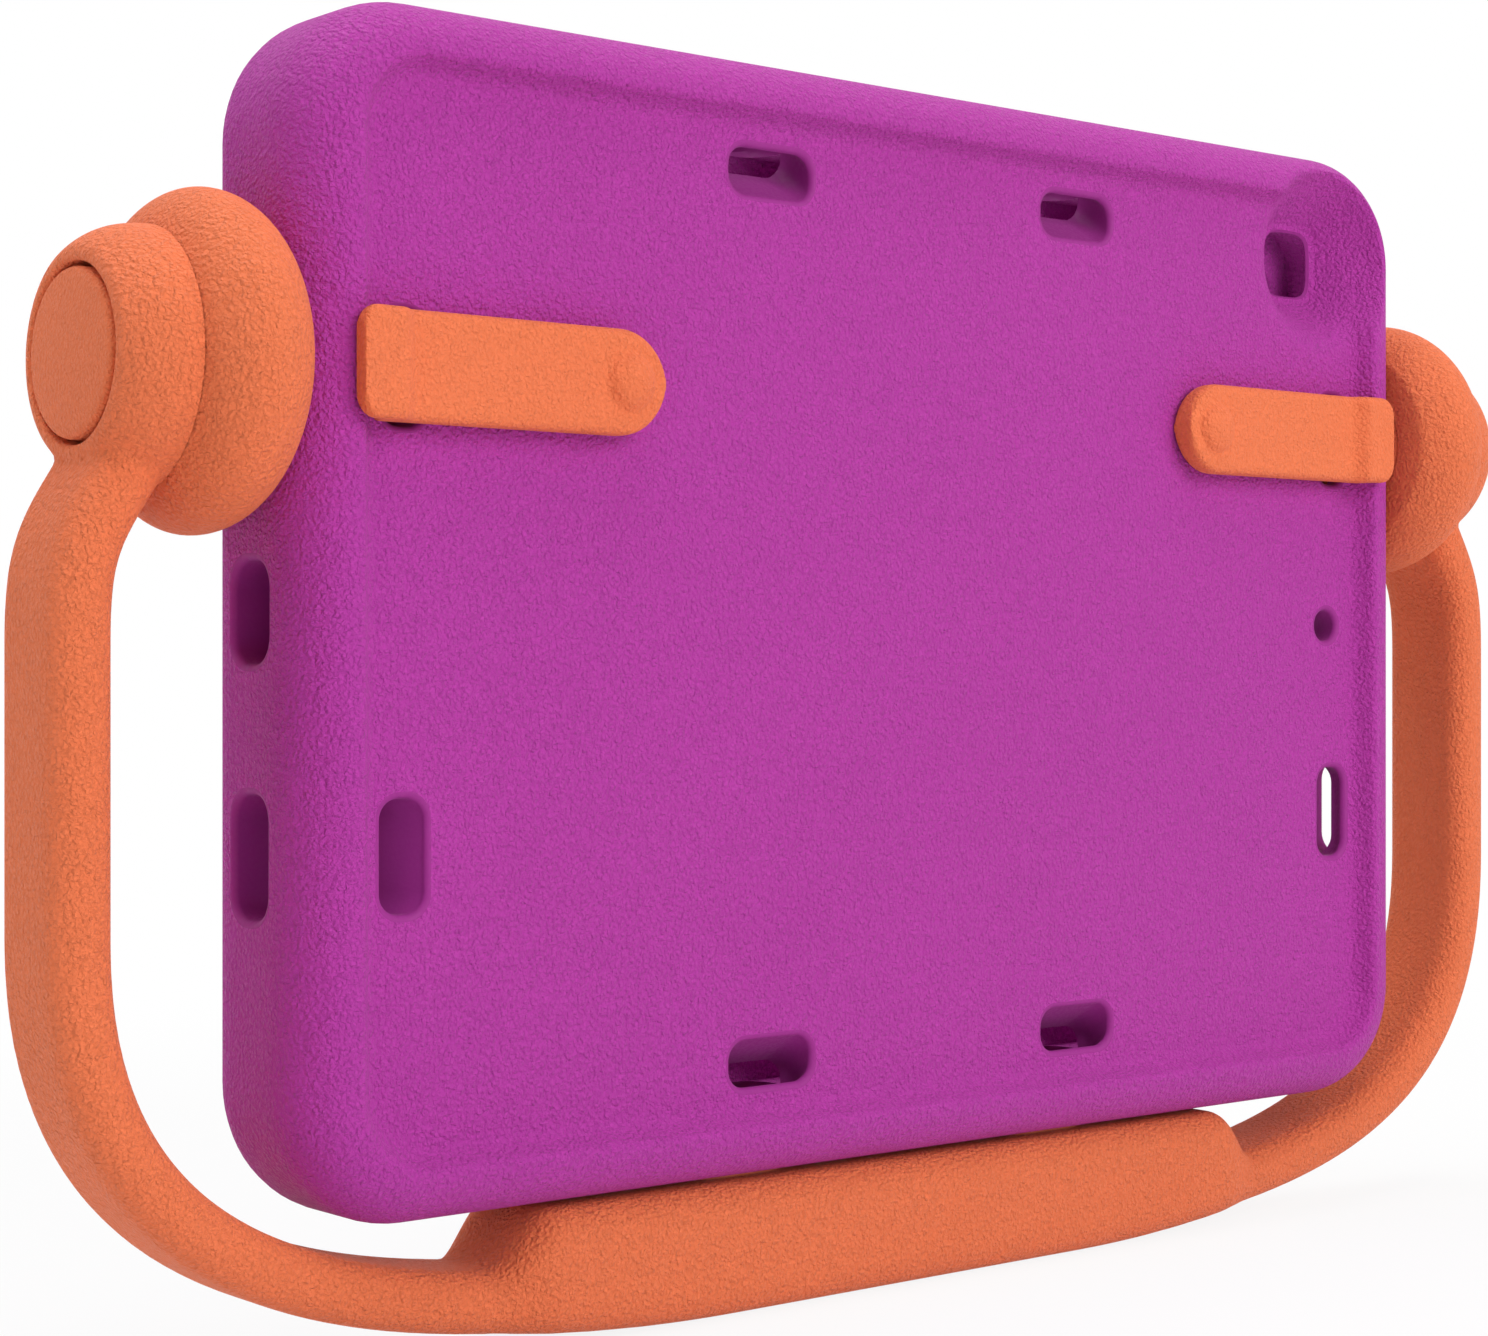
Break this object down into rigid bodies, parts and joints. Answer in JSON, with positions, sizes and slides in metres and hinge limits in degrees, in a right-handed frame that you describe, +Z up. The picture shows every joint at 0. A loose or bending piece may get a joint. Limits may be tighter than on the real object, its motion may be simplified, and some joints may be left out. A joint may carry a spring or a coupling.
{
  "type": "kids tablet case",
  "caption": "Thick foam case for a tablet, with a carry handle that turns on side pivots and serves as a stand.",
  "frame": {"origin": "on the ground under the middle of the handle's grip, at the bottom centre of the whole", "axes": "+X along the case's long side, +Y from its rear to its screen side, +Z up"},
  "size_m": [0.3608, 0.0564, 0.23],
  "materials": {
    "magenta_foam": "matt moulded foam with a fine leathery grain, magenta",
    "orange_foam": "matt moulded foam with a fine leathery grain, orange",
    "orange_rubber": "firm matt rubber with a finer grain, orange",
    "black_plastic": "plain black moulded plastic",
    "screw_steel": "bright steel"
  },
  "bodies": {
    "case": {"case_shell": "magenta_foam", "left_pivot_flange": "orange_foam", "left_clip_strap": "orange_rubber", "left_axle": "black_plastic", "left_retaining_washer": "black_plastic", "left_axle_screw": "screw_steel", "left_hub_cap": "orange_foam", "right_pivot_flange": "orange_foam", "right_clip_strap": "orange_rubber", "right_axle": "black_plastic", "right_retaining_washer": "black_plastic", "right_axle_screw": "screw_steel", "right_hub_cap": "orange_foam"},
    "handle": {"handle": "orange_foam", "left_hub_bush": "black_plastic", "right_hub_bush": "black_plastic"}
  },
  "joints": [
    {"name": "handle_pivot", "type": "hinge", "parent": "case", "child": "handle", "pos_m": [0, 0, 0.16815], "axis": [1, 0, 0], "continuous": true}
  ]
}
